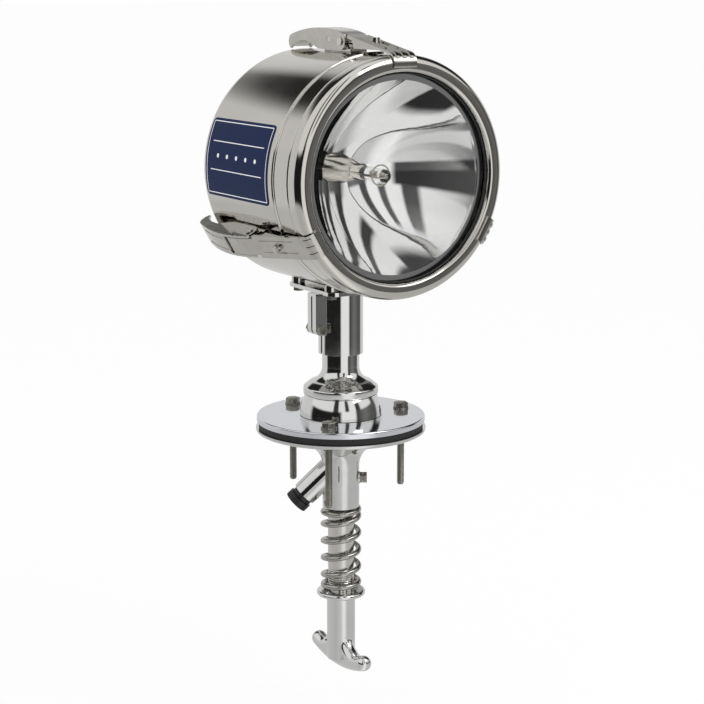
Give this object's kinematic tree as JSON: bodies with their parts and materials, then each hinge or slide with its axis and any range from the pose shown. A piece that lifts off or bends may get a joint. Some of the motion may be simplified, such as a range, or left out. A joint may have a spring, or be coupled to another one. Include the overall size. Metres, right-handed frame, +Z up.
{
  "type": "marine searchlight",
  "caption": "Roof-mounted marine searchlight: polished drum head with a latched front ring on a ball turret, panned and tilted from below by a sprung T-handle.",
  "frame": {"origin": "centre of the bolt circle on the roof face under the gasket", "axes": "+Z up along the control stem, the beam leaves along -Y, +X to the left of someone facing along the beam"},
  "size_m": [0.252, 0.2044, 0.6619],
  "materials": {
    "polished_steel": "mirror-polished stainless steel",
    "satin_flange": "fine satin-polished stainless steel",
    "brushed_steel": "polished stainless sheet with a fine brushed grain",
    "machined_steel": "turned stainless steel",
    "zinc_fastener": "dull zinc-plated steel",
    "spring_steel": "drawn spring wire",
    "bronze": "sintered bronze",
    "black_rubber": "matt black rubber",
    "black_plastic": "moulded black nylon",
    "nylon": "natural nylon",
    "ceramic": "glazed steatite",
    "lamp_glass": "clear pressed glass",
    "quartz": "clear quartz",
    "mirror_coat": "vacuum-aluminised glass",
    "burner_metal": "heat-darkened nickel",
    "brass_wire": "nickel-brass wire"
  },
  "bodies": {
    "base": {"deck_flange": "satin_flange", "flange_bush": "bronze", "thrust_washer": "bronze", "roof_gasket": "black_rubber", "counter_flange": "satin_flange", "upper_guide_bush": "bronze", "lower_guide_bush": "bronze", "deck_bolts": "zinc_fastener", "bolt_washers": "zinc_fastener", "brake_screw": "zinc_fastener", "brake_locknut": "zinc_fastener", "brake_pad": "nylon", "gland_body": "black_plastic", "gland_seal": "black_rubber", "gland_nut": "black_plastic"},
    "turret": {"turret_hub": "machined_steel", "turret_ball": "polished_steel", "hub_retainer": "machined_steel", "tilt_pin": "machined_steel"},
    "stem": {"control_stem": "machined_steel", "lift_pin": "machined_steel", "spring_collar": "polished_steel", "handle": "polished_steel", "handle_pin": "machined_steel", "balance_spring": "spring_steel"},
    "head": {"tilt_yoke": "machined_steel", "bell_neck": "polished_steel", "neck_screw": "zinc_fastener", "clamp_saddle": "polished_steel", "clamp_screw": "zinc_fastener", "clamp_nut": "zinc_fastener", "saddle_bolts": "zinc_fastener", "lead_grommet": "black_rubber", "drum_housing": "brushed_steel", "front_collar": "brushed_steel", "front_seal": "black_rubber", "front_ring": "brushed_steel", "lamp_gasket": "black_rubber", "lamp_lens": "lamp_glass", "lamp_mirror": "mirror_coat", "lamp_retainer": "machined_steel", "burner_base": "burner_metal", "burner_capsule": "quartz", "burner_supports": "brass_wire", "lamp_terminals": "brass_wire", "terminal_block": "ceramic", "latch_brackets": "brushed_steel", "fulcrum_pins": "machined_steel"},
    "lever_body_top": {"latch_lever_top": "brushed_steel", "link_pin_top": "machined_steel"},
    "strap_body_top": {"latch_strap_top": "brushed_steel"},
    "lever_body_right": {"latch_lever_right": "brushed_steel", "link_pin_right": "machined_steel"},
    "strap_body_right": {"latch_strap_right": "brushed_steel"},
    "lever_body_left": {"latch_lever_left": "brushed_steel", "link_pin_left": "machined_steel"},
    "strap_body_left": {"latch_strap_left": "brushed_steel"}
  },
  "joints": [
    {"name": "pan", "type": "hinge", "parent": "base", "child": "turret", "pos_m": [0, 0, 0.013], "axis": [0, 0, 1], "range_deg": [-180, 180]},
    {"name": "tilt", "type": "hinge", "parent": "turret", "child": "head", "pos_m": [0, 0, 0.013], "axis": [1, 0, 0], "range_deg": [0, 25], "stiffness_Nm_per_rad": 22},
    {"name": "handle_push", "type": "slide", "parent": "turret", "child": "stem", "axis": [0, 0, 1], "range_m": [0, 0.00933], "deforming": ["balance_spring"]},
    {"name": "lever_top", "type": "hinge", "parent": "head", "child": "lever_body_top", "pos_m": [0, -0.02, 0.3898], "axis": [1, 0, 0], "range_deg": [0, 100]},
    {"name": "strap_top", "type": "hinge", "parent": "lever_body_top", "child": "strap_body_top", "pos_m": [0, 0.002, 0.3912], "axis": [1, 0, 0], "range_deg": [-100.1, 0]},
    {"name": "lever_right", "type": "hinge", "parent": "head", "child": "lever_body_right", "pos_m": [0.10921, -0.02, 0.20065], "axis": [-0.5, 0, -0.866], "range_deg": [0, 100]},
    {"name": "strap_right", "type": "hinge", "parent": "lever_body_right", "child": "strap_body_right", "pos_m": [0.11042, 0.002, 0.19995], "axis": [-0.5, 0, -0.866], "range_deg": [-100.1, 0]},
    {"name": "lever_left", "type": "hinge", "parent": "head", "child": "lever_body_left", "pos_m": [-0.10921, -0.02, 0.20065], "axis": [-0.5, 0, 0.866], "range_deg": [0, 100]},
    {"name": "strap_left", "type": "hinge", "parent": "lever_body_left", "child": "strap_body_left", "pos_m": [-0.11042, 0.002, 0.19995], "axis": [-0.5, 0, 0.866], "range_deg": [-100.1, 0]}
  ],
  "couplings": [
    {"joint": "handle_push", "follows": "tilt", "m_per_rad": 0.02137},
    {"joint": "strap_top", "follows": "lever_top", "ratio": -1},
    {"joint": "strap_right", "follows": "lever_right", "ratio": -1},
    {"joint": "strap_left", "follows": "lever_left", "ratio": -1}
  ]
}
